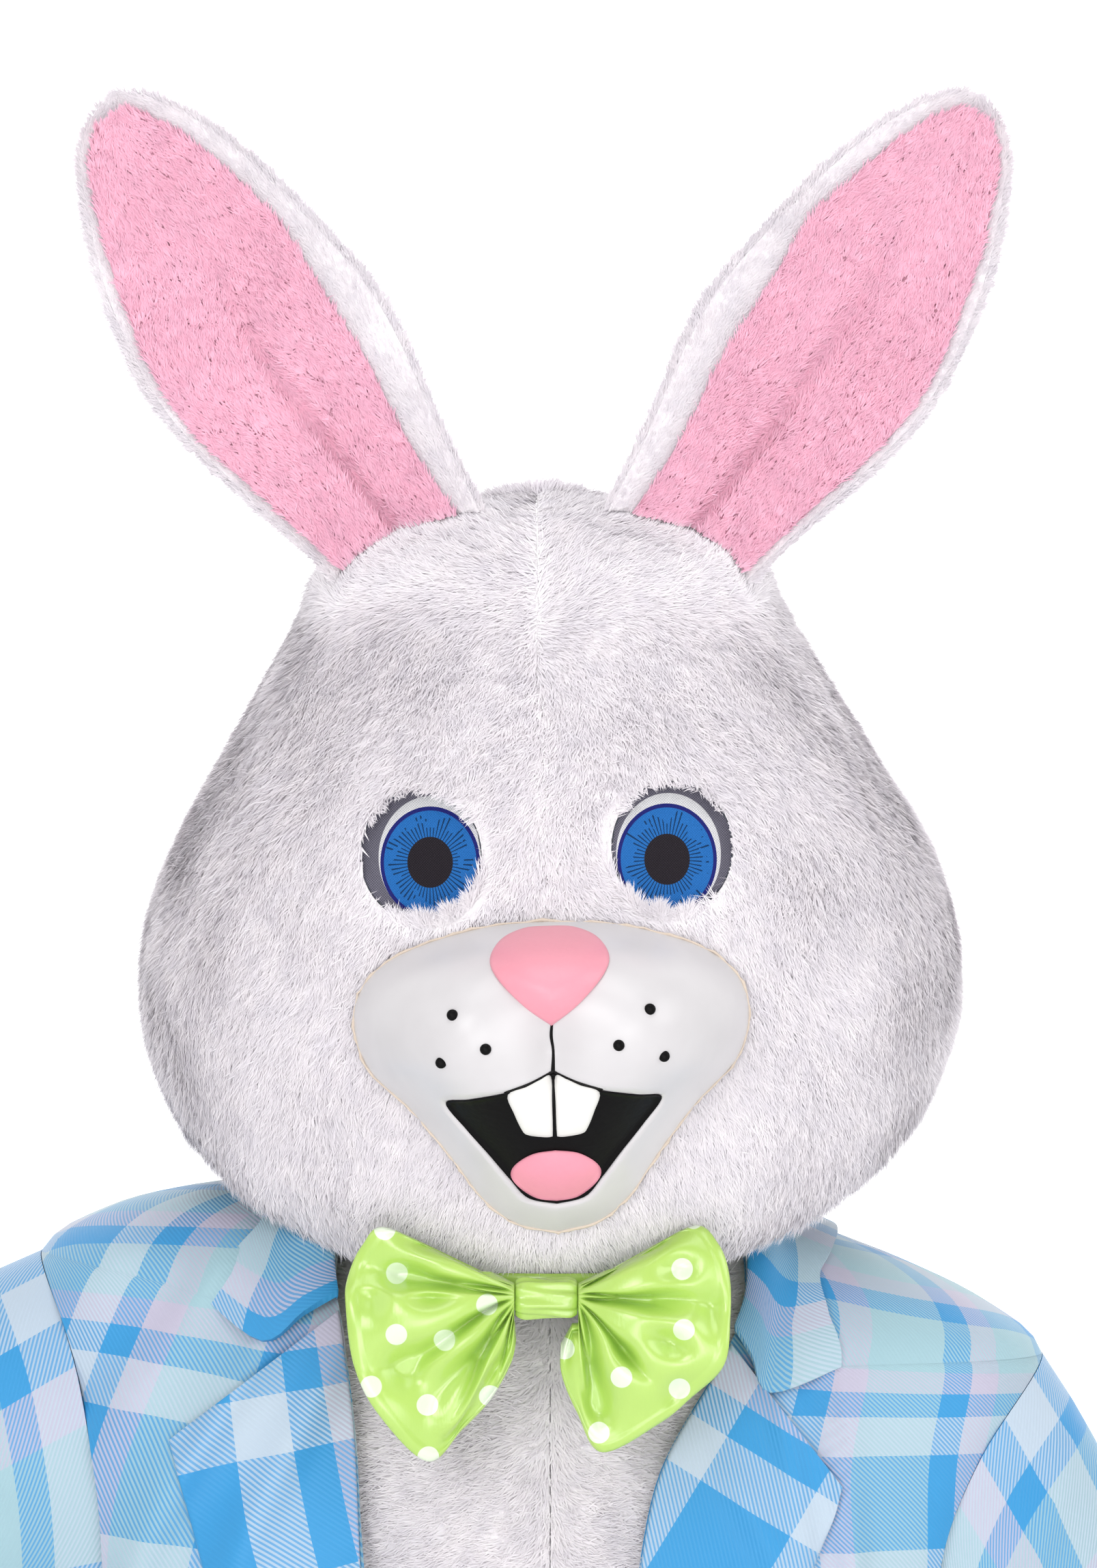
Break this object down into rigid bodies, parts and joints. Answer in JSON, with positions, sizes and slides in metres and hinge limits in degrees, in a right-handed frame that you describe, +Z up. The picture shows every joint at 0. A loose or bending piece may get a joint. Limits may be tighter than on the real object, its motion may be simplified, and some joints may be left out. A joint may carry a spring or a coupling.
{
  "type": "rabbit mascot costume",
  "caption": "Rabbit mascot costume: hollow plush head with tall ears and formed muzzle, satin bow tie, plaid notch-lapel blazer and white fur bodysuit.",
  "frame": {"origin": "on the wearer's shoulders, at the middle of the base of the neck", "axes": "+Z up, -Y the costume's front, +X the viewer's right"},
  "size_m": [0.8764, 0.4144, 1.9152],
  "materials": {
    "white_fur": "short white plush fur on a foam or cloth backing",
    "pink_fur": "short pink plush",
    "formed_white": "thin formed sheet with a satin gloss",
    "nose_pink": "painted satin gloss",
    "black": "painted black",
    "eye_blue": "printed woven mesh",
    "green_satin": "satin printed with white spots",
    "blue_plaid": "woven pastel plaid",
    "button_blue": "plain moulded button"
  },
  "bodies": {
    "root": {"head_crown_left": "white_fur", "head_crown_right": "white_fur", "head_cheek_left": "white_fur", "head_cheek_right": "white_fur", "head_back_left": "white_fur", "head_back_right": "white_fur", "ear_back_left": "white_fur", "ear_back_right": "white_fur", "body_front_left": "white_fur", "body_front_right": "white_fur", "body_back": "white_fur", "leg_left": "white_fur", "leg_right": "white_fur", "ear_pink_left": "pink_fur", "ear_pink_right": "pink_fur", "muzzle": "formed_white", "tooth_left": "formed_white", "tooth_right": "formed_white", "nose": "nose_pink", "tongue": "nose_pink", "mouth": "black", "eye_left": "eye_blue", "eye_right": "eye_blue", "bow_lobe_left": "green_satin", "bow_lobe_right": "green_satin", "bow_knot": "green_satin", "bow_band": "green_satin", "jacket_front_left": "blue_plaid", "jacket_front_right": "blue_plaid", "jacket_back": "blue_plaid", "sleeve_left": "blue_plaid", "sleeve_right": "blue_plaid", "lapel_left": "blue_plaid", "lapel_right": "blue_plaid", "collar": "blue_plaid", "button_1": "button_blue", "button_2": "button_blue"}
  },
  "joints": []
}
